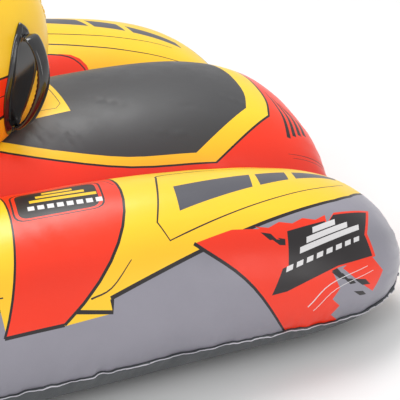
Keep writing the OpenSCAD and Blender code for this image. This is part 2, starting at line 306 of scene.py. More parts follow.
def soften(points, radius=6):
    """Polygon with its corners cut round."""
    p = np.array(points, float)
    out = []
    for i in range(len(p)):
        a, b, c = p[i - 1], p[i], p[(i + 1) % len(p)]
        ra = min(radius, 0.4 * np.linalg.norm(a - b))
        rc = min(radius, 0.4 * np.linalg.norm(c - b))
        s, e = b + (a - b) / np.linalg.norm(a - b) * ra, b + (c - b) / np.linalg.norm(c - b) * rc
        for t in (0, 0.25, 0.5, 0.75, 1):
            out.append(tuple((1 - t) ** 2 * s + 2 * t * (1 - t) * b + t * t * e))
    return out


def mirrored(layers):
    """The layers again with the sign of v turned."""
    return layers + [(m, [(a, -b) for a, b in p]) for m, p in layers]


def shear_box(o, along, across, a, b, c, d):
    """Parallelogram in an emblem's own axes: a to b along, c to d across."""
    o, along, across = (np.array(q, float) for q in (o, along, across))
    return [tuple(o + along * s + across * t) for s, t in ((a, c), (b, c), (b, d), (a, d))]


def inside(points, poly):
    """Which points lie in a polygon."""
    x, y = points[:, 0], points[:, 1]
    p = np.array(poly)
    q = np.roll(p, -1, axis=0)
    hit = np.zeros(len(x), bool)
    for (x1, y1), (x2, y2) in zip(p, q):
        if y1 == y2:
            continue
        cut = (y1 > y) != (y2 > y)
        hit ^= cut & (x < (x2 - x1) * (y - y1) / (y2 - y1) + x1)
    return hit


# ---------------------------------------------------------------- artwork, in mm (along, around)
HALF = 597                   # half way round a pontoon
DECK_V = -90                 # the red panel's edge on top of the pontoon
PANEL_DROP = 350             # and how far it reaches down the side


def border_v(u):
    """Edge between yellow and grey: straight along the side, curling up over the stern."""
    return 230 - 0.29 * (u - 210) - 150 * np.maximum(0, (u - 700) / 235) ** 3


def sheer_v(u):
    """Edge between yellow and grey from the bow to the red panel."""
    return 150 + 60 * ((u + 1000) / 1000) ** 1.3


def curve(rule, start, end, count=12):
    return [(u, float(rule(u))) for u in np.linspace(start, end, count)]


def panel_edge(top_u, reach, power):
    """Edge of the red panel, which sweeps forward as it goes down."""
    return [(top_u - reach * t ** power, DECK_V + PANEL_DROP * t) for t in np.linspace(0, 1, 12)]


BORDER = curve(border_v, 210, 933, 16)
RED_RIGHT = panel_edge(310, 195, 2.6)
RED_LEFT = panel_edge(86, 86, 1.8)


def torn(start, end, teeth, depth):
    """Zigzag from one point to another."""
    a, b = np.array(start, float), np.array(end, float)
    out = np.array([b[1] - a[1], a[0] - b[0]]) / np.linalg.norm(b - a)
    row = []
    for k in range(2 * teeth + 1):
        row.append(tuple(a + (b - a) * k / (2 * teeth) + out * depth * (k % 2)))
    return row


def between(upper, lower, start, end, slant):
    """Block between two edges, with slanted ends."""
    return [(start + slant, upper(start + slant)), (end + slant, upper(end + slant)), (end, lower(end)),
            (start, lower(start))]


def slanted_box(u, v, half_u, half_v, lean):
    """Parallelogram about a centre."""
    corners = ((-1, -1), (-1, 1), (1, 1), (1, -1))
    return [(u + a * half_u - lean * b * half_v, v + b * half_v) for a, b in corners]


def emblem_plate():
    """Large stern plate: a jagged dark field with stacked bars and dashes, no lettering."""
    o, along, across = (565, 248), (0.955, -0.297), (0.30, -0.954)
    steps = [(-20, -30), (-6, 22), (8, 22), (0, 100), (100, 90), (105, 78), (125, 98), (228, 82), (212, 20),
             (238, -45), (140, -30), (18, -38)]
    plate = [tuple(np.array(o) + np.array(along) * a + np.array(across) * b) for a, b in steps]
    middle = np.mean(plate, axis=0)
    rim = [tuple(middle + (np.array(p) - middle) * 1.075) for p in plate]
    marks = [shear_box(o, along, across, 34 + 16 * k, 196 - 34 * k, 38 + 17 * k, 52 + 17 * k)
             for k in range(3)]
    marks += [shear_box(o, along, across, a + 4, a + 20, 10, 22) for a in range(0, 200, 25)]
    return [("red", rim), ("black", plate)] + [("white", m) for m in marks]


def deck_plate():
    """Small badge on the red panel: rounded dark plate with slanted bars."""
    grow = lambda k: soften(slanted_box(178, -5, 81 * k, 49 * k, 0.22), 22 * k)
    o, along, across = (104, 36), (1.0, 0.06), (0.22, -0.975)
    marks = [("amber", shear_box(o, along, across, 10 + 14 * k, 142 - 22 * k, 40 + 17 * k, 51 + 17 * k))
             for k in range(3)]
    marks += [("white", shear_box(o, along, across, a, a + 13, 14, 28)) for a in range(4, 140, 19)]
    return [("black", grow(1.13)), ("red", grow(1.08)), ("black", grow(1.0))] + marks


def vent_art():
    """Three dark blocks in a wedge, with thin frame lines round them."""
    upper = lambda u: 12 - 0.17 * (u - 435)
    lower = lambda u: 88 - 0.28 * (u - 386)
    art = [("slate", between(upper, lower, start, end, slant))
           for start, end, slant in ((392, 570, 16), (590, 664, 10), (684, 800, 8))]
    frame_low = curve(lambda u: border_v(u) - 44, 350, 800)
    art.append(("line", stroke(bend([(388, -20), (362, 50), (338, 105)], 4) + frame_low, 4.2, 1.8)))
    art.append(("line", stroke(bend([(388, -20), (415, -44), (600, -60), (775, -70)], 4), 4.2, 1.8)))
    art.append(("line", stroke([(430, -84), (850, -130)], 4.2, 1.8)))
    return art


def splash_art():
    """Torn red field behind the plate, with black flecks."""
    left = bend([(395, 158), (500, 260), (604, 440)])
    art = [("red", left + torn((700, 440), (690, 290), 3, 18) + [(640, 150), (480, 140)])]
    art.append(("red", torn((530, 138), (694, 118), 3, -8) + [(686, 164), (600, 186), (560, 158)]))
    art.append(("red", [(764, 200), (804, 265), (775, 320), (700, 242)]))
    art.append(("black", stroke(left, 8, 4)))
    for k in range(12):
        x, y = 545 + 17 * k + 10 * lattice(k, 1, 51), 142 + 14 * k + 12 * lattice(k, 2, 51)
        w, h = 36 + 8 * lattice(k, 3, 51), 7 + 2 * lattice(k, 4, 51)
        art.append(("black", [(x, y), (x + 0.7 * w, y + 0.15 * w), (x + w, y + 0.5 * w + 0.3 * h),
                              (x + 0.5 * w, y + 0.3 * w + h)]))
    return art


def pontoon_art():
    art = [("grey", BORDER + [(940, HALF + 3), (-1000, HALF + 3)] + curve(sheer_v, -1000, 0)
            + [(4, 262), (115, 262), (210, 258)])]
    art.append(("black", stroke(BORDER, 8, 6)))
    art.append(("black", stroke([(134, 240), (210, 256), (212, 232)], 8)))
    art.append(("black", stroke(curve(sheer_v, -1000, 0), 6)))
    art.append(("line", stroke(curve(lambda u: sheer_v(u) - 22, -300, 10), 1, 2.6)))
    # bow flash
    upper = curve(lambda u: -90 + 190 * ((u + 1000) / 570) ** 3, -1000, -430)
    lower = curve(lambda u: 22 + 90 * ((u + 1000) / 570) ** 2.4, -1000, -430)
    art.append(("red", upper + lower[::-1]))
    art.append(("black", stroke(lower, 5, 2)))
    for k in range(3):
        art.append(("slate", soften(slanted_box(-855 + 118 * k, 80 + 7 * k, 44, 17, 0.1), 8)))
    art.append(("line", stroke(bend([(-1000, -150), (-780, -150), (-420, -50), (-70, -20)]), 3, 1)))
    # red side panel
    art.append(("red", [(310, -152)] + RED_RIGHT + RED_LEFT[::-1] + [(92, -152)]))
    art.append(("black", stroke(RED_RIGHT, 5, 6)))
    art.append(("black", stroke(RED_LEFT, 3.5, 5)))
    art.append(("black", stroke([(0, 260), (115, 260)], 7)))
    art.append(("line", stroke(bend([(235, -62), (285, -68), (300, -20)]), 1, 2)))
    art += deck_plate()
    art.append(("line", stroke(bend([(172, 224), (215, 212), (265, 168)], 4), 3.6, 1.6)))
    art += vent_art()
    # inner red flank seen behind the seat
    art.append(("red", soften([(50, -118), (535, -118), (535, -316), (50, -316)], 60)))
    art.append(("black", stroke(bend([(290, -118), (455, -118), (515, -145), (535, -215)], 4), 4, 3)))
    art += splash_art()
    art += emblem_plate()
    for shift, width in ((0, 2.6), (14, 1.6)):
        art.append(("white", stroke(bend([(618 + shift, 326 + shift), (668 + shift, 276 + shift),
                                          (762 + shift, 244 + shift)], 5), width, 1.2)))
    return art


def shield(tail, shoulder, wide, front, front_v):
    """Half outline of the seat's print: an angular tail, then long sides that taper forward."""
    rounded = bend([(tail, 0), (tail - 5, 0.34 * wide), (tail - 24, 0.56 * wide)], 4) + [(shoulder, wide)]
    third = (shoulder - front) / 3
    slope = (wide - front_v) / 3
    side = bend([(shoulder, wide), (shoulder - third, wide - 0.4 * slope),
                 (shoulder - 2 * third, wide - 1.5 * slope), (front, front_v)], 4)
    return rounded + side[1:]


def seat_art():
    pad_front, pad_half = 120, 112
    block_aft, block_half, margin = 342, 92, 22
    border = shield(800, 610, 290, pad_front - 80, pad_half - 12)
    art = [("yellow", border + [(pad_front - 155, pad_half - 25), (pad_front - 155, -1), (800, -1)])]
    art.append(("black", stroke(border, 5, 5)))
    art.append(("seat", [(750, -1)] + shield(750, 570, 258, pad_front, pad_half) + [(pad_front, -1)]))
    block_front = pad_front + margin
    art.append(("yellow", [(block_aft, -1), (block_aft, block_half - 4), (block_front, block_half + 8),
                           (block_front, -1)]))
    inset = block_half - margin
    art.append(("line", stroke([(block_aft - 12, -1), (block_aft - 12, inset - 12),
                                (block_aft - 26, inset + 2), (block_aft - 110, inset)], 2, 1.2)))
    for k in range(4):
        art.append(("black", stroke(bend([(814 + 8 * k, 55 + 18 * k), (818 + 14 * k, 140),
                                          (806 + 18 * k, 225 - 10 * k)], 5), 2, 10)))
    for u, v, end, width in ((790, 277, 898, 3), (800, 289, 895, 2)):
        art.append(("line", stroke([(u, v), (end, v)], 1, width)))
    # bow hood
    turn = [math.radians(a) for a in range(0, 181, 15)]
    hood = [(-310 + 250 * math.cos(a), 215 * math.sin(a)) for a in turn]
    art.append(("yellow", hood))
    art.append(("black", stroke(hood, 5)))
    for k in range(3):
        art.append(("slate", soften(slanted_box(-275 - 62 * k, 137, 22, 18, 0.1), 6)))
    return mirrored(art)


def cowl_art():
    side = COWL_R / MM * math.pi
    # red blaze that sweeps up each flank, narrow at its foot and its tip
    rise = np.linspace(0, 1, 10)
    inner = [(540 + 72 * t ** 2.5, 155 + 405 * t) for t in rise]
    outer = [(540 + 72 * t ** 2.5 - 98 * math.sin(math.pi * min(1, 0.25 + 0.75 * t)) ** 0.8 - 2,
              155 + 405 * t) for t in rise]
    art = [("red", inner + outer[::-1])]
    art.append(("black", stroke(inner, 5, 3)))
    art.append(("black", stroke(outer, 8, 3)))
    art.append(("line", stroke(bend([(500, 158), (503, 320), (530, 470)], 4), 2.4, 1)))
    # wind screen on the forward face
    turn = [math.radians(a) for a in range(0, 91, 10)]
    screen = [(690 - 92 * math.cos(2 * a), side - 170 * math.sin(2 * a) ** 0.6) for a in turn[1:-1]]
    screen = [(598, side + 1)] + screen + [(782, side + 1)]
    art.append(("seat", screen))
    art.append(("black", stroke(screen[1:-1], 5)))
    for k in range(3):
        art.append(("slate", soften(slanted_box(490 + 34 * k, side - 106, 10, 42, 0), 6)))
    return mirrored(art)


# ---------------------------------------------------------------- materials
def nodes_of(mat):
    mat.use_nodes = True
    t = mat.node_tree
    return t, t.nodes["Principled BSDF"], t.nodes, t.links


def coords(t, scale=(1, 1, 1)):
    c = t.nodes.new("ShaderNodeTexCoord")
    m = t.nodes.new("ShaderNodeMapping")
    m.inputs["Scale"].default_value = scale
    t.links.new(c.outputs["Object"], m.inputs["Vector"])
    return m.outputs["Vector"]


def noise_node(t, vec, scale, detail=3, rough=0.55):
    n = t.nodes.new("ShaderNodeTexNoise")
    n.inputs["Scale"].default_value = scale
    n.inputs["Detail"].default_value = detail
    n.inputs["Roughness"].default_value = rough
    t.links.new(vec, n.inputs["Vector"])
    return n.outputs["Fac"]


def ramp(t, fac, stops):
    r = t.nodes.new("ShaderNodeValToRGB")
    for i, (pos, col) in enumerate(stops):
        e = r.color_ramp.elements[i] if i < 2 else r.color_ramp.elements.new(pos)
        e.position, e.color = pos, (*col, 1) if len(col) == 3 else col
    t.links.new(fac, r.inputs["Fac"])
    return r.outputs["Color"]


def math_node(t, op, a, b):
    m = t.nodes.new("ShaderNodeMath")
    m.operation = op
    for i, x in enumerate((a, b)):
        if isinstance(x, (int, float)):
            m.inputs[i].default_value = x
        else:
            t.links.new(x, m.inputs[i])
    return m.outputs[0]


def mix_color(t, fac, a, b):
    m = t.nodes.new("ShaderNodeMix")
    m.data_type = "RGBA"
    for sock, x in ((m.inputs["Factor"], fac), (m.inputs["A"], a), (m.inputs["B"], b)):
        if isinstance(x, tuple):
            sock.default_value = (*x, 1)
        elif isinstance(x, (int, float)):
            sock.default_value = x
        else:
            t.links.new(x, sock)
    return m.outputs["Result"]


def bump(t, height, strength, distance, normal=None):
    b = t.nodes.new("ShaderNodeBump")
    b.inputs["Strength"].default_value = strength
    b.inputs["Distance"].default_value = distance
    t.links.new(height, b.inputs["Height"])
    if normal is not None:
        t.links.new(normal, b.inputs["Normal"])
    return b.outputs["Normal"]


def srgb(r, g, b):
    return tuple(((c / 255 + 0.055) / 1.055) ** 2.4 if c > 10 else c / 3294.6 for c in (r, g, b))


def pvc(name, light, dark, rough=0.36, grain=0.12, coat=0.0, specular=0.5):
    """Calendered PVC skin: faint print mottle, fine emboss, uneven gloss and slack ripples."""
    mat = bpy.data.materials.new(name)
    t, bsdf, nodes, links = nodes_of(mat)
    vec = coords(t)
    mottle = noise_node(t, vec, 7.0, 4)
    speck = noise_node(t, vec, 260.0, 2)
    # painted shade and painted highlight from the skin's attribute, added to the mottle to pick the base
    # colour between light and dark
    shade = nodes.new("ShaderNodeAttribute")
    shade.attribute_name = "shade"
    tone = math_node(t, "ADD", math_node(t, "MULTIPLY", mottle, 0.30), shade.outputs["Fac"])
    base = ramp(t, tone, [(0.08, light), (1.0, dark)])
    links.new(mix_color(t, math_node(t, "MULTIPLY", speck, 0.05), base, tuple(0.6 * c for c in dark)),
              bsdf.inputs["Base Color"])
    gloss = noise_node(t, vec, 14.0, 3)
    links.new(ramp(t, gloss, [(0.3, (rough - 0.05,) * 3), (0.7, (rough + 0.07,) * 3)]),
              bsdf.inputs["Roughness"])
    vor = nodes.new("ShaderNodeTexVoronoi")
    vor.inputs["Scale"].default_value = 620.0
    links.new(vec, vor.inputs["Vector"])
    fine = bump(t, vor.outputs["Distance"], grain, 0.0004)
    slack = bump(t, noise_node(t, vec, 32.0, 3), 0.10, 0.004, fine)
    links.new(slack, bsdf.inputs["Normal"])
    bsdf.inputs["Specular IOR Level"].default_value = specular
    bsdf.inputs["Coat Weight"].default_value = coat
    bsdf.inputs["Coat Roughness"].default_value = 0.18
    return mat


def plastic(name, color, rough, wear=0.02, grain_scale=900.0, grain=0.06, coat=0.0):
    """Moulded plastic: fine mould texture, soft scuffs and slight tone change."""
    mat = bpy.data.materials.new(name)
    t, bsdf, _, links = nodes_of(mat)
    vec = coords(t)
    scuff = noise_node(t, vec, 60.0, 6, 0.7)
    links.new(ramp(t, scuff, [(0.35, color), (0.9, tuple(c + wear for c in color))]),
              bsdf.inputs["Base Color"])
    links.new(ramp(t, scuff, [(0.3, (rough,) * 3), (0.8, (rough + 0.14,) * 3)]), bsdf.inputs["Roughness"])
    links.new(bump(t, noise_node(t, vec, grain_scale, 2), grain, 0.0003), bsdf.inputs["Normal"])
    bsdf.inputs["Coat Weight"].default_value = coat
    bsdf.inputs["Coat Roughness"].default_value = 0.08
    return mat


def webbing(name):
    """Woven nylon webbing."""
    mat = bpy.data.materials.new(name)
    t, bsdf, nodes, links = nodes_of(mat)
    vec = coords(t)
    waves = []
    for axis in ("X", "Z"):
        w = nodes.new("ShaderNodeTexWave")
        w.bands_direction = axis
        w.inputs["Scale"].default_value = 230.0
        links.new(vec, w.inputs["Vector"])
        waves.append(w.outputs["Fac"])
    weave = math_node(t, "MULTIPLY", waves[0], waves[1])
    links.new(ramp(t, weave, [(0.0, (0.006, 0.006, 0.007)), (1.0, (0.035, 0.035, 0.04))]),
              bsdf.inputs["Base Color"])
    links.new(bump(t, weave, 0.6, 0.0008), bsdf.inputs["Normal"])
    bsdf.inputs["Roughness"].default_value = 0.72
    bsdf.inputs["Sheen Weight"].default_value = 0.3
    return mat


def steel(name):
    """Stainless with a fine satin grain and light scratches."""
    mat = bpy.data.materials.new(name)
    t, bsdf, _, links = nodes_of(mat)
    vec = coords(t, (1, 1, 14))
    grain = noise_node(t, vec, 150.0, 5, 0.65)
    links.new(ramp(t, grain, [(0.3, (0.52, 0.52, 0.53)), (0.75, (0.72, 0.72, 0.73))]),
              bsdf.inputs["Base Color"])
    links.new(ramp(t, grain, [(0.3, (0.2,) * 3), (0.8, (0.38,) * 3)]), bsdf.inputs["Roughness"])
    links.new(bump(t, grain, 0.08, 0.0003), bsdf.inputs["Normal"])
    bsdf.inputs["Metallic"].default_value = 1.0
    return mat


INKS = {
    "yellow": pvc("pvc_yellow", srgb(255, 212, 44), srgb(246, 168, 20), 0.33),
    "red": pvc("pvc_red", srgb(255, 56, 18), srgb(206, 34, 10), 0.33),
    "grey": pvc("pvc_grey", srgb(152, 149, 160), srgb(108, 108, 116), 0.33),
    "black": pvc("ink_black", srgb(36, 30, 32), srgb(22, 18, 20), 0.34),
    "line": pvc("ink_line", srgb(50, 36, 34), srgb(36, 24, 24), 0.34),
    "slate": pvc("ink_slate", srgb(84, 84, 92), srgb(62, 62, 70), 0.34),
    "seat": pvc("pvc_seat", srgb(66, 66, 68), srgb(34, 34, 37), 0.40, 0.30),
    "white": pvc("ink_white", srgb(232, 230, 230), srgb(190, 188, 190), 0.36),
    "amber": pvc("ink_amber", srgb(250, 206, 40), srgb(232, 170, 30), 0.35),
    "bottom": pvc("pvc_bottom", srgb(74, 77, 80), srgb(44, 46, 50), 0.42, 0.5),
    # pale grey: the valve boots' colour, and on the seam lip's outer edge a painted highlight
    "edge": pvc("pvc_edge", srgb(205, 202, 210), srgb(150, 148, 156), 0.40),
}
BLACK_GLOSS = plastic("handle_gloss", (0.006, 0.006, 0.007), 0.10, 0.012, 500.0, 0.04, 0.6)
CHARCOAL = plastic("valve_charcoal", (0.020, 0.020, 0.023), 0.42, 0.02)
SILICONE = plastic("flap_silicone", (0.62, 0.62, 0.58), 0.45, 0.05, 300.0)
WEBBING = webbing("tow_webbing")
STEEL = steel("tow_steel")


# ---------------------------------------------------------------- building printed skins
def rows_of_points(box, step, fine_rows):
    """Grid points in the flat panel, closer together near the welds in fine_rows."""
    u0, u1, v0, v1 = box
    vs = [v0]
    while vs[-1] < v1 - 1e-9:
        near = min([abs(vs[-1] - f) for f in fine_rows] or [1e9])
        vs.append(vs[-1] + (step * 0.45 if near < 0.045 else step))
    vs = v0 + (np.array(vs) - v0) * (v1 - v0) / (vs[-1] - v0)
    out = []
    for k, v in enumerate(vs):
        near = min([abs(v - f) for f in fine_rows] or [1e9])
        n = int(round((u1 - u0) / (step * (0.5 if near < 0.05 else 1))))
        us = np.linspace(u0, u1, n + 1)
        if k % 2 and 0 < k < len(vs) - 1:
            us = np.concatenate([us[:1], (us[:-1] + us[1:]) / 2, us[-1:]])
        out.append(np.stack([us, np.full(len(us), v)], -1))
    return np.vstack(out)


def clip_box(poly, box):
    """Polygon cut to the panel (Sutherland-Hodgman)."""
    u0, u1, v0, v1 = box
    for axis, limit, sign in ((0, u0, 1), (0, u1, -1), (1, v0, 1), (1, v1, -1)):
        out = []
        for i in range(len(poly)):
            a, b = poly[i - 1], poly[i]
            da, db = sign * (a[axis] - limit), sign * (b[axis] - limit)
            if (da >= 0) != (db >= 0):
                t = da / (da - db)
                out.append((a[0] + (b[0] - a[0]) * t, a[1] + (b[1] - a[1]) * t))
            if db >= 0:
                out.append(b)
        poly = out
        if len(poly) < 3:
            return []
    return poly


def printed_skin(name, surface, box, step, art, base, fine_rows=(), shade=None):
    """A closed skin: the flat artwork is triangulated, then laid on the surface."""
    layers = []
    for ink, poly in art:
        cut = clip_box([(a * MM, b * MM) for a, b in poly], box)
        if cut:
            layers.append((ink, cut))
    pts = list(map(tuple, rows_of_points(box, step, fine_rows)))
    segs = []
    for _, poly in layers:
        start = len(pts)
        ring = []
        for i in range(len(poly)):
            a, b = np.array(poly[i]), np.array(poly[(i + 1) % len(poly)])
            n = max(1, int(np.ceil(np.linalg.norm(b - a) / step)))
            ring += [tuple(a + (b - a) * k / n) for k in range(n)]
        pts += ring
        segs += [(start + i, start + (i + 1) % len(ring)) for i in range(len(ring))]
    out = delaunay_2d_cdt([Vector(p) for p in pts], segs, [], 0, 1e-5)
    flat = np.array([tuple(p) for p in out[0]])
    tris = np.array([f for f in out[2] if len(f) == 3])
    centre = flat[tris].mean(1)
    ink_of = np.zeros(len(tris), int)
    names = [base] + sorted({m for m, _ in layers} - {base})
    for ink, poly in layers:
        ink_of[inside(centre, poly)] = names.index(ink)
    co = surface(flat[:, 0], flat[:, 1])
    mesh = bpy.data.meshes.new(name)
    mesh.from_pydata(co.tolist(), [], tris.tolist())
    for m in names:
        mesh.materials.append(INKS[m])
    mesh.polygons.foreach_set("material_index", ink_of)
    for key, vals in (("u", flat[:, 0]), ("v", flat[:, 1])):
        mesh.attributes.new(key, "FLOAT", "POINT").data.foreach_set("value", vals.astype(np.float32))
    bm = bmesh.new()
    bm.from_mesh(mesh)
    bmesh.ops.remove_doubles(bm, verts=bm.verts, dist=2e-5)
    bmesh.ops.dissolve_degenerate(bm, edges=bm.edges, dist=1e-6)
    bmesh.ops.holes_fill(bm, edges=[e for e in bm.edges if e.is_boundary], sides=0)
    bmesh.ops.triangulate(bm, faces=[f for f in bm.faces if len(f.verts) > 4])
    bmesh.ops.recalc_face_normals(bm, faces=bm.faces)
    bm.to_mesh(mesh)
    bm.free()
    finish_normals(mesh, surface, shade)
    obj = bpy.data.objects.new(name, mesh)
    bpy.context.scene.collection.objects.link(obj)
    return obj


def finish_normals(mesh, surface, shade):
    """Smooth normals worked out from the surface itself, and the attribute of painted shade and painted
    highlight.
    """
    n = len(mesh.vertices)
    u, v = np.empty(n, np.float32), np.empty(n, np.float32)
    mesh.attributes["u"].data.foreach_get("value", u)
    mesh.attributes["v"].data.foreach_get("value", v)
    u, v = u.astype(float), v.astype(float)
    co = np.empty(n * 3)
    mesh.vertices.foreach_get("co", co)
    tone = shade(u, v) if shade else np.zeros(n)
    mesh.attributes.new("shade", "FLOAT", "POINT").data.foreach_set("value", tone.astype(np.float32))
    mesh.shade_smooth()
    mesh.update()
    auto = np.array([tuple(p.normal) for p in mesh.vertices])
    e = 0.0015
    du = surface(u + e, v) - surface(u - e, v)
    dv = surface(u, v + e) - surface(u, v - e)
    made = np.cross(dv, du)
    size = np.linalg.norm(made, axis=1)
    made /= np.maximum(size, 1e-12)[:, None]
    agree = (made * auto).sum(1)
    made[agree < 0] *= -1
    moved = np.linalg.norm(co.reshape(-1, 3) - surface(u, v), axis=1)
    bad = (size < 2e-7) | (np.abs(agree) < 0.80) | (moved > 1e-4)
    made[bad] = auto[bad]
    mesh.normals_split_custom_set_from_vertices(made.tolist())


def mirror_copy(obj, name):
    """The starboard twin of a port piece."""
    mesh = obj.data.copy()
    mesh.name = name
    custom = np.array([tuple(c.vector) for c in mesh.corner_normals])
    loop_vert = np.empty(len(mesh.loops), int)
    mesh.loops.foreach_get("vertex_index", loop_vert)
    per_vert = np.zeros((len(mesh.vertices), 3))
    per_vert[loop_vert] = custom
    co = np.empty(len(mesh.vertices) * 3)
    mesh.vertices.foreach_get("co", co)
    co = co.reshape(-1, 3) * (-1, 1, 1)
    mesh.vertices.foreach_set("co", co.ravel())
    mesh.flip_normals()
    mesh.update()
    mesh.normals_split_custom_set_from_vertices((per_vert * (-1, 1, 1)).tolist())
    twin = bpy.data.objects.new(name, mesh)
    bpy.context.scene.collection.objects.link(twin)
    return twin


def put(obj, body, slot_name, *nodes):
    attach(obj, body)
    if nodes:
        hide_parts(*nodes)


def sweep(name, rings, mats, closed=True, band_of=None):
    """A closed skin through rings of points, with flat ends."""
    rings = [np.asarray(r) for r in rings]
    n = len(rings[0])
    verts = np.vstack(rings)
    faces, bands = [], []
    for i in range(len(rings) - 1):
        for j in range(n):
            k = (j + 1) % n
            faces.append((i * n + j, i * n + k, (i + 1) * n + k, (i + 1) * n + j))
            bands.append(band_of(i, j) if band_of else 0)
    faces += [tuple(range(n - 1, -1, -1)), tuple((len(rings) - 1) * n + j for j in range(n))]
    bands += [0, 0]
    mesh = bpy.data.meshes.new(name)
    mesh.from_pydata(verts.tolist(), [], faces)
    for m in mats:
        mesh.materials.append(m)
    mesh.polygons.foreach_set("material_index", bands)
    bm = bmesh.new()
    bm.from_mesh(mesh)
    bmesh.ops.recalc_face_normals(bm, faces=bm.faces)
    bm.to_mesh(mesh)
    bm.free()
    mesh.shade_smooth()
    obj = bpy.data.objects.new(name, mesh)
    bpy.context.scene.collection.objects.link(obj)
    return obj


# ---------------------------------------------------------------- camera, lights and floor
def make_camera():
    data = bpy.data.cameras.new("camera")
    data.sensor_width = 36.0
    data.lens = 36.0 * 1720 / 400
    data.clip_end = 50
    cam = bpy.data.objects.new("camera", data)
    bpy.context.scene.collection.objects.link(cam)
    a, e = math.radians(65), math.radians(28)
    back = Vector((math.sin(a) * math.cos(e), -math.cos(a) * math.cos(e), math.sin(e)))
    cam.location = (3.14, -0.785, 1.914)
    cam.rotation_mode = "QUATERNION"
    cam.rotation_quaternion = (-back).to_track_quat("-Z", "Y")
    bpy.context.scene.camera = cam
    bpy.context.scene.view_settings.view_transform = "Standard"


def area_light(name, place, target, size, power, tint=(1, 1, 1)):
    data = bpy.data.lights.new(name, "AREA")
    data.shape = "RECTANGLE"
    data.size, data.size_y = size
    data.energy = power
    data.color = tint
    obj = bpy.data.objects.new(name, data)
    bpy.context.scene.collection.objects.link(obj)
    obj.location = place
    aim = Vector(target) - Vector(place)
    obj.rotation_mode = "QUATERNION"
    obj.rotation_quaternion = aim.to_track_quat("-Z", "Y")


def make_stage():
    world = bpy.data.worlds.new("studio")
    bpy.context.scene.world = world
    world.use_nodes = True
    world.node_tree.nodes["Background"].inputs["Color"].default_value = (1, 1, 1, 1)
    world.node_tree.nodes["Background"].inputs["Strength"].default_value = 0.72
    mesh = bpy.data.meshes.new("floor")
    half = 40
    mesh.from_pydata([(-half, -half, 0), (half, -half, 0), (half, half, 0), (-half, half, 0)], [],
                     [(0, 1, 2, 3)])
    floor = bpy.data.objects.new("floor", mesh)
    bpy.context.scene.collection.objects.link(floor)
    mat = bpy.data.materials.new("floor_pale")
    t, bsdf, _, links = nodes_of(mat)
    links.new(ramp(t, noise_node(t, coords(t), 3.0), [(0.3, (0.90,) * 3), (0.7, (0.93,) * 3)]),
              bsdf.inputs["Base Color"])
    bsdf.inputs["Roughness"].default_value = 0.9
    mesh.materials.append(mat)
    area_light("key", (2.6, -2.6, 2.6), (0.1, 0.2, 0.4), (1.6, 1.6), 44)
    area_light("top", (-0.5, 0.7, 3.0), (0, 0.3, 0.3), (1.0, 2.0), 44)
    area_light("side", (3.6, 2.4, 1.0), (0.4, 0.3, 0.3), (0.7, 2.2), 12)


make_camera()
make_stage()

# ---------------------------------------------------------------- pieces
soft_pontoon = dressed(pontoon, pontoon_relief)
soft_seat = dressed(seat, seat_relief)
soft_cowl = dressed(cowl, cowl_relief)
SEAM_V = TUBE_R * SEAM_ANGLE


def pontoon_painted_shade(u, v):
    """Painted shade: deeper along the inner flank, in the valley by the seat, and towards the side seam,
    with a darker grey band under the border so the grey below it reads as a lighter painted reflection
    band.
    """
    inner = np.clip((-v - 0.10) / 0.12, 0, 1)
    low = np.clip((v - 0.20) / 0.20, 0, 1)
    # painted shade band on the grey just under the border
    grey_painted_shade_band = 0.35 * np.exp(-((v - 0.17) / 0.05) ** 2)
    return 0.55 * inner + 0.30 * low + grey_painted_shade_band * (v > 0.1)


def seat_painted_shade_and_highlight(u, v):
    # painted shade darker towards the flanks, and a painted highlight strip beside the ridge
    return 0.45 * np.clip((np.abs(v) - 0.16) / 0.14, 0, 1) - 0.12 * np.exp(-((v - 0.10) / 0.06) ** 2)


def cowl_painted_shade(u, v):
    # painted shade darkening the fairing towards its foot, which faces down
    return 0.7 * np.clip((0.50 - u) / 0.09, 0, 1)


port = printed_skin("port_pontoon_skin", soft_pontoon,
                    (-BOW_START - BOW_PATH, 0.9279, -HALF * MM, HALF * MM), 0.012,
                    pontoon_art(), "yellow", (SEAM_V,), pontoon_painted_shade)
put(port, "hull", "yellow_skin", "port_pontoon")
put(mirror_copy(port, "starboard_pontoon_skin"), "hull", "yellow_skin", "starboard_pontoon")
centre = printed_skin("seat_tube_skin", soft_seat, (-0.590, 0.9394, -math.pi * SEAT_R, math.pi * SEAT_R),
                      0.012, seat_art(), "red", (), seat_painted_shade_and_highlight)
put(centre, "hull", "seat_skin", "seat_tube")
hood = printed_skin("cowl_skin", soft_cowl, (COWL_FOOT, 0.8279, -math.pi * COWL_R, math.pi * COWL_R),
                    0.009, cowl_art(), "yellow", (0.0,), cowl_painted_shade)
put(hood, "hull", "yellow_skin", "cowl")


def grid_of(us, vs):
    """Every pair of a station along the hull and a place round it."""
    return np.repeat(us, len(vs)), np.tile(vs, len(us))


def side_skin(name):
    """Heavier bottom sheet wrapped up to the side seam, puckered where it is welded."""
    us = np.linspace(-BOW_START - BOW_PATH, 0.9265, 560)
    vs = np.linspace(SEAM_V + 0.0005, TUBE_R * math.radians(171), 22)
    u, v = grid_of(us, vs)
    pucker = np.exp(-(v - SEAM_V) / 0.026) * (0.0030 * noise(u / 0.026, v / 0.09, 51)
                                              + 0.0014 * noise(u / 0.009, v / 0.05, 52))
    slack = 0.0010 * noise(u / 0.07, v / 0.06, 53)
    base, n = soft_pontoon(u, v), normal_of(pontoon, u, v)
    out = (base + (0.0034 + pucker + slack)[:, None] * n).reshape(len(us), len(vs), 3)
    inn = (base + 0.0003 * n).reshape(len(us), len(vs), 3)
    return sweep(name, np.concatenate([out, inn[:, ::-1]], axis=1), [INKS["bottom"]])


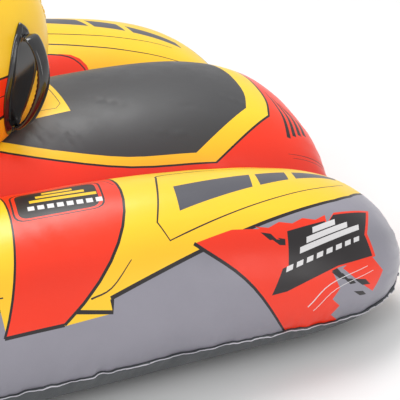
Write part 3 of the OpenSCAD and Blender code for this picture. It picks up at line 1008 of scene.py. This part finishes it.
def seam_flange(name):
    """Welded lip along the side seam: a thin wavy ribbon whose outer edge is coloured pale as a painted
    highlight.
    """
    us = np.linspace(-BOW_START - BOW_PATH, 0.9268, 980)
    steps = np.array([-0.0008, 0.0034, 0.0044, 0.0060])
    tail = np.clip((us - 0.70) / 0.20, 0, 1)
    flat = us * 0
    wave = 0.6 * noise(us / 0.034, flat, 61) + 0.4 * noise(us / 0.015, flat + 5, 62)
    sway = (0.0042 + 0.0020 * tail) * wave
    nicks = noise(us / 0.009, flat + 2, 64) > 0.1
    trim = 0.0010 * noise(us / 0.021, flat + 9, 63) + 0.0030 * tail * nicks
    lean = (np.clip(steps, 0, 1) / 0.0060) ** 1.5
    v = np.concatenate([SEAM_V - 0.0006 + sway[:, None] * lean,
                        SEAM_V + 0.0010 + sway[:, None] * lean[::-1]], axis=1)
    off = np.tile(np.concatenate([steps, steps[::-1]]), (len(us), 1))
    off = off + trim[:, None] * (off > 0.004)
    u, v, off = np.repeat(us, 8), v.ravel(), off.ravel()
    rings = (soft_pontoon(u, v) + off[:, None] * normal_of(pontoon, u, v)).reshape(len(us), 8, 3)
    # the lip's outermost faces take the pale material as a painted highlight
    return sweep(name, rings, [INKS["bottom"], INKS["edge"]], band_of=lambda i, k: int(k in (2, 3, 4)))


def cowl_flange():
    """Trimmed weld lip up the back and the front of the fairing, nicked where it bends."""
    us = np.linspace(0.452, 0.774, 420)
    rings_all = []
    for side in (0.0, math.pi * COWL_R):
        rings = []
        for u in us:
            one = np.full(1, u)
            nick = float(np.clip(np.cos(u / 0.0115 * 2 * math.pi) * 6 - 5.0, 0, 1))
            high = 0.0066 - 0.0030 * nick + float((0.0006 * noise(one / 0.016, one * 0, 71))[0])
            sway = float((0.0012 * noise(one / 0.024, one * 0 + 3, 72))[0])
            end = math.sqrt(max(0.05, 1 - ((u - 0.613) / 0.162) ** 8))
            off = np.array([-0.0006, high * end, high * end, -0.0006])
            v = side + np.array([-0.0007, -0.0006 + sway, 0.0006 + sway, 0.0007])
            uu = np.full(4, u)
            rings.append(soft_cowl(uu, v) + off[:, None] * normal_of(cowl, uu, v))
        rings_all.append(sweep("cowl_lip_" + ("aft" if side == 0 else "front"), rings, [INKS["yellow"]]))
    return rings_all


def handle_frame(t, across):
    """Point and normal on the fairing: t runs up the handle, across goes round the fairing."""
    u = np.full(len(across), HANDLE_Z) + t * 0.116
    v = COWL_R * HANDLE_PHI + across * COWL_R / HANDLE_ARC_R
    return soft_cowl(u, v), normal_of(cowl, u, v)


def handle_patch(name):
    """Moulded pointed-oval base with a raised rim and a dished middle."""
    ts = np.sin(np.linspace(-math.pi / 2, math.pi / 2, 72)) * 0.997
    s = np.sin(np.linspace(-math.pi / 2, math.pi / 2, 44))
    rings = []
    for t in ts:
        half = 0.045 * max(1e-4, 1 - abs(t) ** 2.1) ** 0.72
        p, n = handle_frame(t, s * half)
        edge = np.minimum(1, (1 - np.abs(s)) * half / 0.0045)
        ends = min(1.0, (1 - abs(t)) / 0.035)
        dome = np.sqrt(np.clip(1 - (1 - edge) ** 2, 0, 1)) * math.sqrt(max(0, 1 - (1 - ends) ** 2))
        rim = 0.0016 * np.exp(-(((1 - np.abs(s)) * half - 0.009) / 0.0028) ** 2) * (ends > 0.6)
        cup = -0.0012 * np.clip(1 - (s / 0.62) ** 2, 0, 1) * max(0, 1 - (t / 0.72) ** 2)
        foot = 0.005 * np.exp(-((abs(t) - 0.80) / 0.10) ** 2) * np.clip(1 - (s * half / 0.022) ** 2, 0, 1)
        top = p + (0.0004 + 0.0042 * dome + rim * dome + cup + foot)[:, None] * n
        low = p + 0.0002 * n
        rings.append(np.vstack([top, low[::-1][1:-1]]))
    return sweep(name, rings, [BLACK_GLOSS])


def handle_grip(name):
    """Broad moulded loop that rises off the base and comes back to it, with a soft inner bulge."""
    n_ring = 24
    around = np.arange(n_ring) * 2 * math.pi / n_ring
    rings = []
    for k in range(81):
        t = -1 + k / 40
        rise = max(0.0, math.cos(t * math.pi / 2)) ** 0.46
        half_w = 0.0155 + 0.006 * abs(t) ** 4
        half_t = 0.0070 + 0.0016 * math.exp(-(t / 0.45) ** 2)
        if abs(t) > 0.94:
            shrink = math.sqrt(max(0.04, 1 - ((abs(t) - 0.94) / 0.062) ** 2))
            half_w, half_t = half_w * shrink, half_t * shrink
        across = np.sign(np.sin(around)) * np.abs(np.sin(around)) ** 0.8 * half_w
        up = np.sign(np.cos(around)) * np.abs(np.cos(around)) ** 0.8 * half_t
        ribs = 0.0007 * (abs(t) < 0.5) * math.cos(t * 60) * (np.cos(around) < -0.2)
        u = np.full(n_ring, HANDLE_Z) + t * 0.092
        v = np.full(n_ring, COWL_R * HANDLE_PHI) + across * COWL_R / HANDLE_ARC_R
        p = cowl(u, v)
        middle = np.full(1, COWL_R * HANDLE_PHI)
        c, nc = cowl(u[:1], middle), normal_of(cowl, u[:1], middle)
        flat = c + (p - c) - ((p - c) @ nc[0])[:, None] * nc
        rings.append(flat + (0.012 + 0.039 * rise + up + ribs)[:, None] * nc)
    return sweep(name, rings, [BLACK_GLOSS])


PAIRED = [(side_skin, "side_skin_sheet", "bottom_skin", "side_skin"),
          (seam_flange, "seam_lip", "seam_skin", "seam_flange"),
          (handle_patch, "handle_base", "handle_plastic", "handle_patch"),
          (handle_grip, "handle_loop", "handle_plastic", "handle_grip")]
for build, piece_name, slot_name, node_name in PAIRED:
    piece = build("port_" + piece_name)
    put(piece, "hull", slot_name, "port_" + node_name)
    put(mirror_copy(piece, "starboard_" + piece_name), "hull", slot_name, "starboard_" + node_name)

lips = cowl_flange()
put(lips[0], "hull", "yellow_skin", "cowl_seam_flange")
put(lips[1], "hull", "yellow_skin")


# ---------------------------------------------------------------- CAD pieces that keep their shape
def finish_node(node, mat):
    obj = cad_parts[node]
    obj.data.materials.clear()
    obj.data.materials.append(mat)


VALVES = {
    "port": ((AXIS_X + 0.00025, -0.300, 2 * TUBE_H + LIFT + 0.0006), (0, 0, 1), (-1, 0, 0)),
    "starboard": ((-AXIS_X - 0.00025, -0.300, 2 * TUBE_H + LIFT + 0.0006), (0, 0, 1), (1, 0, 0)),
    "seat": ((0, -0.372, SEAT_TOP + LIFT + 0.0004), (0, 0, 1), (0, -1, 0)),
    "cowl": ((-COWL_HALF - 0.0006, 0, COWL_SHOULDER), (-1, 0, 0), (0, 0, 1))}


def ring_points(place, axis, toward, radius, height, count):
    """Points round a valve: radius and height may differ from point to point."""
    o, a, h = (np.array(p, float) for p in (place, axis, toward))
    b = np.cross(a, h)
    turn = np.arange(count) * 2 * math.pi / count
    return (o + (radius * np.cos(turn))[:, None] * h + (radius * np.sin(turn))[:, None] * b
            + (height + 0 * turn)[:, None] * a)


def valve_boot(name, place, axis, toward, hull_tree):
    """Soft welded collar that follows the chamber and meets the valve's flat foot."""
    count = 64
    foot = 0.0012
    axis = Vector(axis)
    rings = []
    # radius, height over the chamber or the foot, and share of the foot's level
    for radius, over, blend in ((0.0405, -0.0006, 0), (0.0408, 0.0007, 0), (0.0398, 0.0013, 0),
                                (0.0370, 0.0016, 0), (0.0355, 0.0018, 0.5), (0.0346, 0.0, 1),
                                (0.0339, 0.0, 1), (0.0330, -0.0006, 1)):
        flat = ring_points(place, axis, toward, np.full(count, radius), 0.0, count)
        heights = []
        for p in flat:
            hit = hull_tree.ray_cast(Vector(p) + axis * 0.06, -axis)
            drop = (hit[0] - Vector(p)).dot(axis) if hit[0] else 0.0
            inner_edge = over <= -0.0005 and blend != 0
            heights.append(foot + over if inner_edge else (drop + over) * (1 - blend) + foot * blend)
        rings.append(ring_points(place, axis, toward, np.full(count, radius), np.array(heights), count))
    return sweep(name, rings, [INKS["edge"]])


def cap_grip(name, place, axis, toward):
    """Ribbed rim that sits over the cap's edge, with a domed top."""
    count = 96
    turn = np.arange(count)
    rib = 0.00055 * (turn % 4 < 2)
    rings = []
    for radius, height in ((0.0192, 0.0081), (0.0204, 0.0083), (0.0206, 0.0122), (0.0200, 0.0134),
                           (0.0186, 0.0140), (0.0168, 0.0142), (0.0160, 0.0136), (0.0100, 0.0138),
                           (0.0030, 0.0140)):
        ribs = rib if 0.0195 < radius else 0
        rings.append(ring_points(place, axis, toward, radius + ribs * np.ones(count), height, count))
    return sweep(name, rings, [CHARCOAL])


def tree_of(obj):
    faces = [tuple(p.vertices) for p in obj.data.polygons]
    return BVHTree.FromPolygons([v.co for v in obj.data.vertices], faces)


SKIN_UNDER = {"port": port, "starboard": bpy.data.objects["starboard_pontoon_skin"],
              "seat": centre, "cowl": hood}
for side_name, (place, axis, toward) in VALVES.items():
    put(valve_boot(side_name + "_valve_boot", place, axis, toward, tree_of(SKIN_UNDER[side_name])),
        "hull", "valve_plastic")
    put(cap_grip(side_name + "_cap_rim", place, axis, toward), side_name + "_valve_cap", "valve_plastic")
    for part in ("base", "insert", "cap"):
        finish_node(side_name + "_valve_" + part, CHARCOAL)
    finish_node(side_name + "_valve_flap", SILICONE)

BAR = (0.0, -0.926, 0.2195)


def webbing_loop(name, x0):
    """Folded webbing that wraps the cross bar, with its two tails sewn flat on the patch."""
    half, thick = 0.0112, 0.0014
    path = [(0.0092, 0.034), (0.0092, 0.016)]
    path += [(-0.0072 * math.cos(a), 0.0072 * math.sin(a)) for a in np.radians(np.linspace(110, -110, 15))]
    path += [(0.0092, -0.016), (0.0092, -0.034)]
    pts = np.array(path)
    rings = []
    for k in range(len(pts)):
        d = pts[min(k + 1, len(pts) - 1)] - pts[max(k - 1, 0)]
        d = d / np.linalg.norm(d)
        n = np.array([-d[1], d[0]])
        ring = []
        for sx, so in ((-1, -1), (1, -1), (1, 1), (-1, 1)):
            q = pts[k] + n * so * thick / 2
            ring.append((x0 + sx * half, BAR[1] + q[0], BAR[2] + q[1]))
        rings.append(ring)
    return sweep(name, rings, [WEBBING])


def tow_pad(name):
    """Reinforced patch at the nose: rounded, slightly crowned and stitched round its edge."""
    w, h, y = 0.055, 0.038, BAR[1] + 0.0085
    rings = []
    for depth, grow in ((0.0031, 1.0), (0.0008, 1.0), (0.0, 0.985), (-0.0002, 0.95), (-0.0002, 0.90),
                        (0.0002, 0.885), (0.0002, 0.875), (-0.0003, 0.86), (-0.0005, 0.5)):
        ring = []
        for k in range(72):
            a = k * 2 * math.pi / 72
            c, d = math.cos(a), math.sin(a)
            f = (abs(c) ** 7 + abs(d) ** 7) ** (-1 / 7)
            inset = (1 - grow) * h
            ring.append(((w - inset) * f * c, y + depth, BAR[2] + (h - inset) * f * d))
        rings.append(ring)
    return sweep(name, rings, [INKS["bottom"]])


put(tow_pad("tow_pad"), "hull", "bottom_skin", "tow_patch")
loops = [webbing_loop("tow_webbing_port", 0.0205), webbing_loop("tow_webbing_starboard", -0.0205)]
put(loops[0], "hull", "webbing", "tow_sleeve")
put(loops[1], "hull", "webbing")
finish_node("tow_eye", STEEL)
finish_node("bottom_panel", INKS["bottom"])
